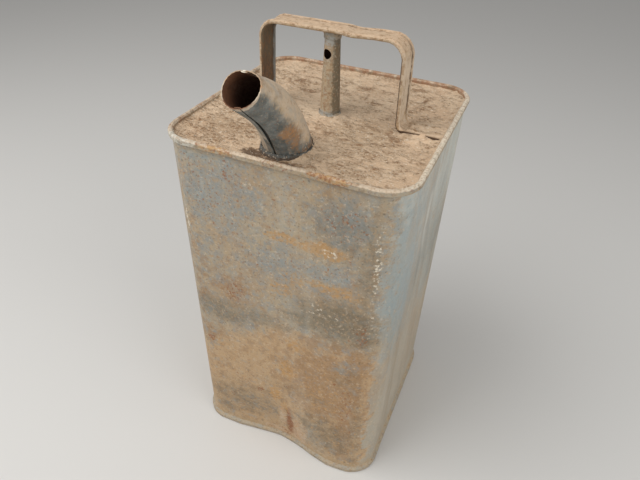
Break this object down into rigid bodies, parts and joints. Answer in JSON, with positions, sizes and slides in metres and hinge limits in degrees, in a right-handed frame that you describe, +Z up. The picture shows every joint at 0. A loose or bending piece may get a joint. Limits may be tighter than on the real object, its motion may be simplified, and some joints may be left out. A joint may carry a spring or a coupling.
{
  "type": "kerosene can",
  "caption": "square seamed sheet-steel fuel can with a bent pouring spout, an upright air tube and a fixed strap handle on its recessed top",
  "frame": {"origin": "on the floor, below the middle of the overall box, which takes in the spout's overhang; the can's own middle is 13 mm behind it", "axes": "+Z up, -Y the side the spout pours over, +X the can's right side seen from the spout side"},
  "size_m": [0.1838, 0.2102, 0.3835],
  "materials": {
    "painted_steel": "worn grey-blue paint with rust and dust",
    "dusty_steel": "steel under a crust of brown dust and rust",
    "dark_painted_steel": "dark grey paint with rust patches",
    "solder": "dull grey soft solder"
  },
  "bodies": {
    "root": {"body_wall": "painted_steel", "bottom_panel": "painted_steel", "top_panel": "dusty_steel", "handle_strap": "dusty_steel", "spout_left_half": "dark_painted_steel", "spout_right_half": "dark_painted_steel", "air_tube": "dark_painted_steel", "spout_solder": "solder", "air_tube_foot_solder": "solder", "air_tube_top_solder": "solder", "lock_seam_foot_solder": "solder", "lock_seam_top_solder": "solder"}
  },
  "joints": []
}
